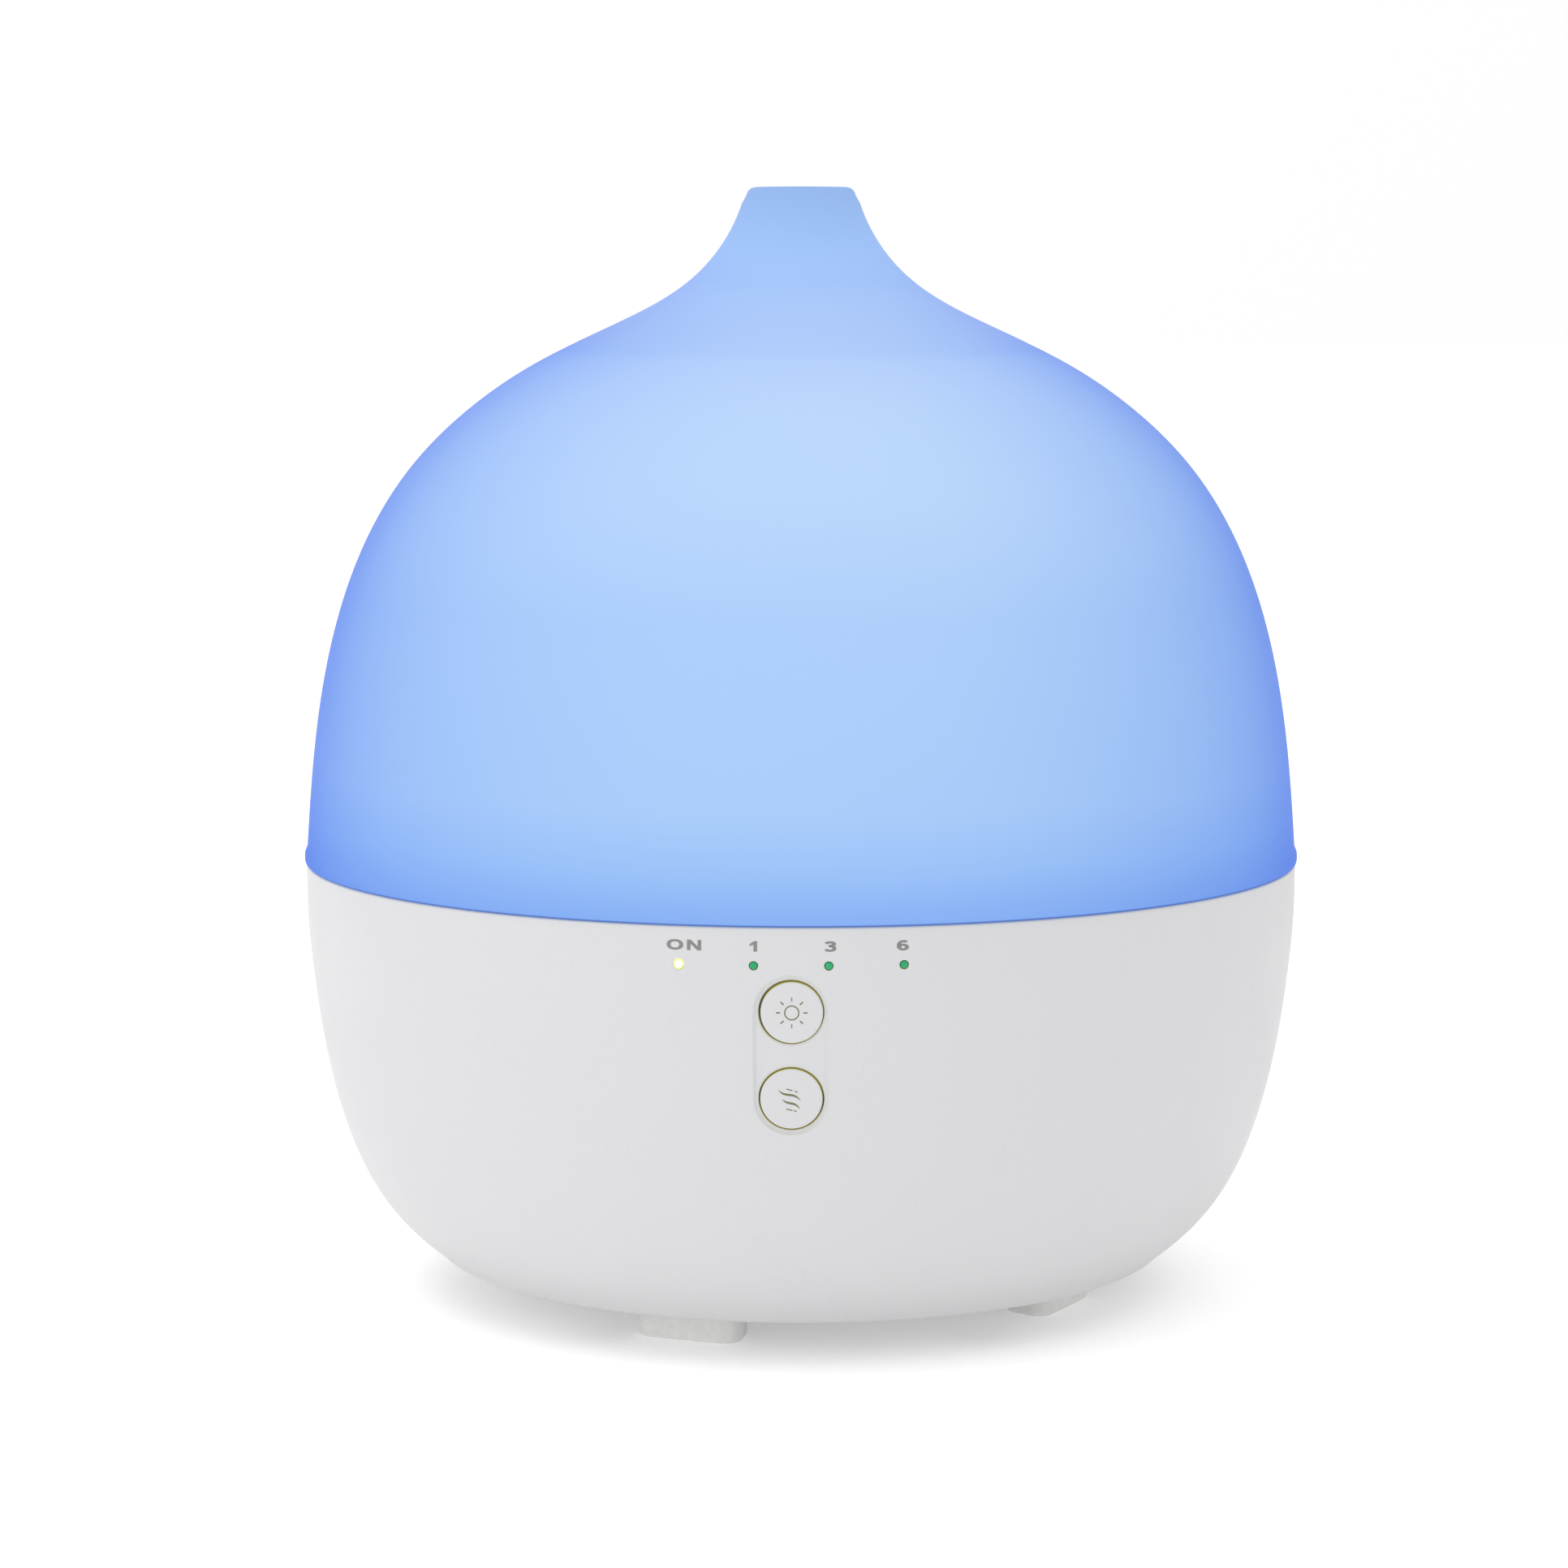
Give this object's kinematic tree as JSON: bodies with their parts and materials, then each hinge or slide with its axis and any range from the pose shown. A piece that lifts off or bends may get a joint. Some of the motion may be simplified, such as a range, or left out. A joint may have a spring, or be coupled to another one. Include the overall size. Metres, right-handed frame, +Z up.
{
  "type": "cool mist humidifier",
  "caption": "Onion-shaped ultrasonic cool mist humidifier: glowing frosted cover with a narrow nozzle over a rounded white base with two push buttons and indicator lights.",
  "frame": {"origin": "on the surface the feet stand on, on the vertical axis of the body", "axes": "+Z up, -Y towards the front with the buttons, +X to the viewer's right when facing the front"},
  "size_m": [0.168, 0.168, 0.1865],
  "materials": {
    "glow_plastic": "satin frosted, lit from inside",
    "milky_plastic": "satin translucent",
    "white_plastic": "fine matt moulded texture",
    "tank_plastic": "satin moulded",
    "foot_rubber": "soft matt",
    "lit_lens": "clear, lit",
    "green_lens": "clear",
    "circuit_board": "solder resist over glass fibre",
    "black_plastic": "matt moulded",
    "led_plastic": "clear over phosphor",
    "ceramic": "smooth fired",
    "silicone": "soft matt",
    "aluminium": "extruded and sheared",
    "steel": "nickel plated",
    "red_lead": "smooth insulation",
    "grey_lead": "smooth insulation"
  },
  "bodies": {
    "base": {"base_housing": "white_plastic", "board_screw_1": "steel", "board_screw_2": "steel", "bottom_cover": "white_plastic", "bottom_screw_1": "steel", "bottom_screw_2": "steel", "bottom_screw_3": "steel", "bottom_screw_4": "steel", "capacitor_1": "black_plastic", "capacitor_2": "black_plastic", "control_board": "circuit_board", "control_ribbon": "grey_lead", "dc_jack": "black_plastic", "dc_lead": "grey_lead", "fan_duct": "milky_plastic", "fan_frame": "black_plastic", "fan_lead": "red_lead", "fan_screw_1": "steel", "fan_screw_2": "steel", "foot_front_left": "foot_rubber", "foot_front_right": "foot_rubber", "foot_rear_left": "foot_rubber", "foot_rear_right": "foot_rubber", "heat_sink": "aluminium", "indicator_lens_1h": "green_lens", "indicator_lens_3h": "green_lens", "indicator_lens_6h": "green_lens", "indicator_lens_on": "lit_lens", "inductor": "black_plastic", "led_board": "circuit_board", "led_lead": "grey_lead", "light_led_1": "led_plastic", "light_led_2": "led_plastic", "light_led_3": "led_plastic", "light_led_4": "led_plastic", "light_led_5": "led_plastic", "light_led_6": "led_plastic", "light_switch_body": "black_plastic", "main_board": "circuit_board", "mist_switch_body": "black_plastic", "tank_screw_1": "steel", "tank_screw_2": "steel", "tank_screw_3": "steel", "transducer_clamp": "aluminium", "transducer_disc": "ceramic", "transducer_lead": "red_lead", "transducer_screw_1": "steel", "transducer_screw_2": "steel", "transducer_screw_3": "steel", "transducer_seal": "silicone", "water_tank": "tank_plastic"},
    "mist_guide": {"mist_guide": "milky_plastic"},
    "top_cover": {"top_cover": "glow_plastic"},
    "light_button": {"light_button": "white_plastic"},
    "mist_button": {"mist_button": "white_plastic"},
    "light_plunger": {"light_switch_plunger": "black_plastic"},
    "mist_plunger": {"mist_switch_plunger": "black_plastic"},
    "fan_rotor": {"fan_rotor": "black_plastic"}
  },
  "joints": [
    {"name": "guide_lift", "type": "slide", "parent": "base", "child": "mist_guide", "axis": [0, 0, 1], "range_m": [0, 0.04]},
    {"name": "cover_lift", "type": "slide", "parent": "mist_guide", "child": "top_cover", "axis": [0, 0, 1], "range_m": [0, 0.12]},
    {"name": "light_press", "type": "slide", "parent": "base", "child": "light_button", "axis": [0, 1, 0], "range_m": [0, 0.0005], "stiffness_N_per_m": 4000},
    {"name": "mist_press", "type": "slide", "parent": "base", "child": "mist_button", "axis": [0, 1, 0], "range_m": [0, 0.0005], "stiffness_N_per_m": 4000},
    {"name": "light_plunger_press", "type": "slide", "parent": "base", "child": "light_plunger", "axis": [0, 1, 0], "range_m": [0, 0.00025]},
    {"name": "mist_plunger_press", "type": "slide", "parent": "base", "child": "mist_plunger", "axis": [0, 1, 0], "range_m": [0, 0.00025]},
    {"name": "fan_spin", "type": "hinge", "parent": "base", "child": "fan_rotor", "pos_m": [0, 0.034, 0.016], "axis": [0, 0, 1], "continuous": true}
  ],
  "couplings": [
    {"joint": "light_plunger_press", "follows": "light_press", "ratio": 0.5},
    {"joint": "mist_plunger_press", "follows": "mist_press", "ratio": 0.5}
  ]
}
